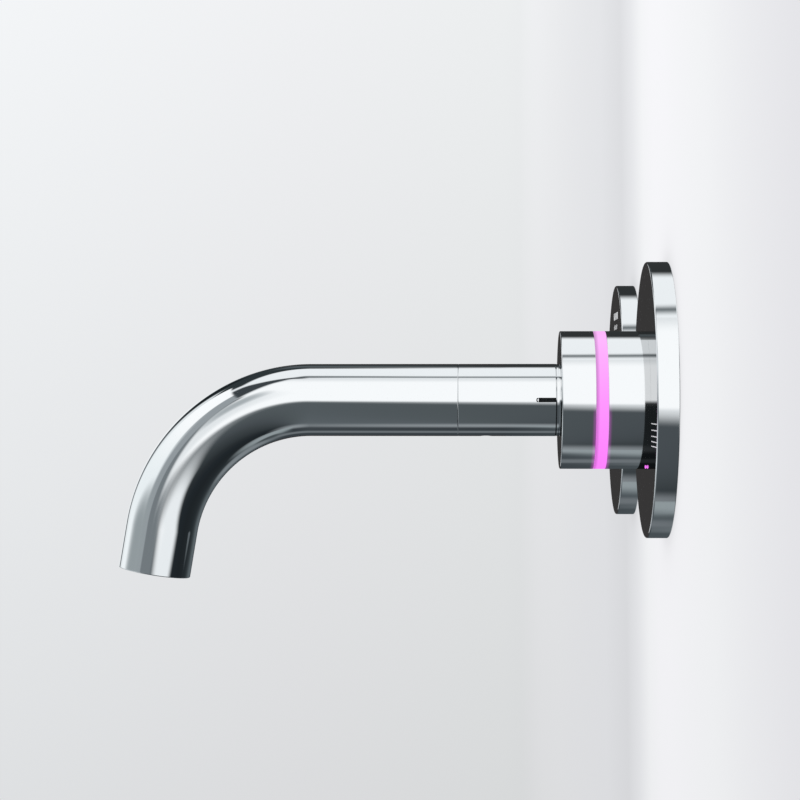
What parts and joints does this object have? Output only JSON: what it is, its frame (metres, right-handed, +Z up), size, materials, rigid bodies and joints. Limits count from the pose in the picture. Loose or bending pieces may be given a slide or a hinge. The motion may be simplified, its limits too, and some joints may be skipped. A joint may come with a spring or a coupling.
{
  "type": "electronic wall basin tap",
  "caption": "Wall basin tap in polished chrome: a bent spout with a turning dial and light ring, a push and turn control beside it, and a motor-driven mixing valve on a rail in the wall.",
  "frame": {"origin": "the spout's axis on the finished wall surface", "axes": "+Z up, -Y out of the wall into the room, +Y into the wall, +X to the right seen from the room"},
  "size_m": [0.235, 0.2396, 0.128],
  "materials": {
    "polished_chrome": "polished chrome plate",
    "brass": "machined brass",
    "copper": "drawn copper pipe",
    "light_diffuser": "translucent diffuser, lit pink",
    "stainless_steel": "bright stainless steel",
    "zinc_steel": "zinc-plated sheet steel",
    "motor_can": "plated motor can",
    "magnet": "sintered ferrite",
    "bearing_plastic": "natural acetal",
    "aerator_plastic": "pale grey acetal",
    "seal_rubber": "black rubber",
    "circuit_board": "green solder mask",
    "led_white": "clear resin over phosphor",
    "black_plastic": "moulded black nylon",
    "case_plastic": "moulded grey ABS",
    "cable_sheath": "black PVC sheath"
  },
  "bodies": {
    "root": {"spout_plate": "polished_chrome", "control_plate": "polished_chrome", "rear_sleeve": "polished_chrome", "spout_collar": "polished_chrome", "spout_tube": "polished_chrome", "aerator_housing": "polished_chrome", "body_core": "brass", "spout_stem": "brass", "control_base": "brass", "lock_nuts": "brass", "spout_elbow": "brass", "pipe_nuts": "brass", "valve_body": "brass", "transfer_pipe": "copper", "light_ring": "light_diffuser", "locating_key": "stainless_steel", "collar_set_screw": "stainless_steel", "snap_rings": "stainless_steel", "rail_screws": "stainless_steel", "inlet_strainers": "stainless_steel", "hot_check_spring": "stainless_steel", "cold_check_spring": "stainless_steel", "solenoid_tube": "stainless_steel", "solenoid_spring": "stainless_steel", "box_screws": "stainless_steel", "mounting_rail": "zinc_steel", "mixing_motor": "motor_can", "dial_bush": "bearing_plastic", "knob_bush": "bearing_plastic", "check_cages": "bearing_plastic", "rotor_gland": "bearing_plastic", "aerator_grid": "aerator_plastic", "base_seal": "seal_rubber", "plate_seals": "seal_rubber", "spout_o_rings": "seal_rubber", "aerator_seal": "seal_rubber", "led_board": "circuit_board", "control_board": "circuit_board", "main_board": "circuit_board", "leds": "led_white", "push_switch": "black_plastic", "solenoid_coil": "black_plastic", "cable_gland": "black_plastic", "electronics_box": "case_plastic", "electronics_lid": "case_plastic", "led_cable": "cable_sheath", "control_cable": "cable_sheath", "valve_cables": "cable_sheath"},
    "dial": {"dial_ring": "polished_chrome", "dial_magnet_ring": "magnet"},
    "knob": {"knob": "polished_chrome", "knob_magnet_ring": "magnet", "push_spring": "stainless_steel"},
    "cap": {"push_cap": "polished_chrome", "cap_clip": "stainless_steel"},
    "rotor": {"mixing_rotor": "brass"},
    "plunger": {"solenoid_plunger": "stainless_steel"},
    "hot_poppet": {"hot_check_poppet": "bearing_plastic"},
    "cold_poppet": {"cold_check_poppet": "bearing_plastic"}
  },
  "joints": [
    {"name": "dial_turn", "type": "hinge", "parent": "root", "child": "dial", "pos_m": [0, -0.026, 0], "axis": [0, -1, 0], "continuous": true},
    {"name": "knob_turn", "type": "hinge", "parent": "root", "child": "knob", "pos_m": [-0.125, -0.014, 0], "axis": [0, -1, 0], "continuous": true},
    {"name": "cap_push", "type": "slide", "parent": "knob", "child": "cap", "axis": [0, 1, 0], "range_m": [0, 0.0012], "stiffness_N_per_m": 400, "springref_m": -0.003, "deforming": ["push_spring"]},
    {"name": "rotor_turn", "type": "hinge", "parent": "root", "child": "rotor", "pos_m": [-0.125, 0.04, 0], "axis": [0, -1, 0], "range_deg": [-50, 50]},
    {"name": "solenoid_lift", "type": "slide", "parent": "root", "child": "plunger", "axis": [0, 0, 1], "range_m": [0, 0.0015], "stiffness_N_per_m": 200, "springref_m": -0.004, "deforming": ["solenoid_spring"]},
    {"name": "hot_check_lift", "type": "slide", "parent": "root", "child": "hot_poppet", "axis": [0, 0, 1], "range_m": [0, 0.002], "stiffness_N_per_m": 60, "springref_m": -0.004, "deforming": ["hot_check_spring"]},
    {"name": "cold_check_lift", "type": "slide", "parent": "root", "child": "cold_poppet", "axis": [0, 0, 1], "range_m": [0, 0.002], "stiffness_N_per_m": 60, "springref_m": -0.004, "deforming": ["cold_check_spring"]}
  ]
}
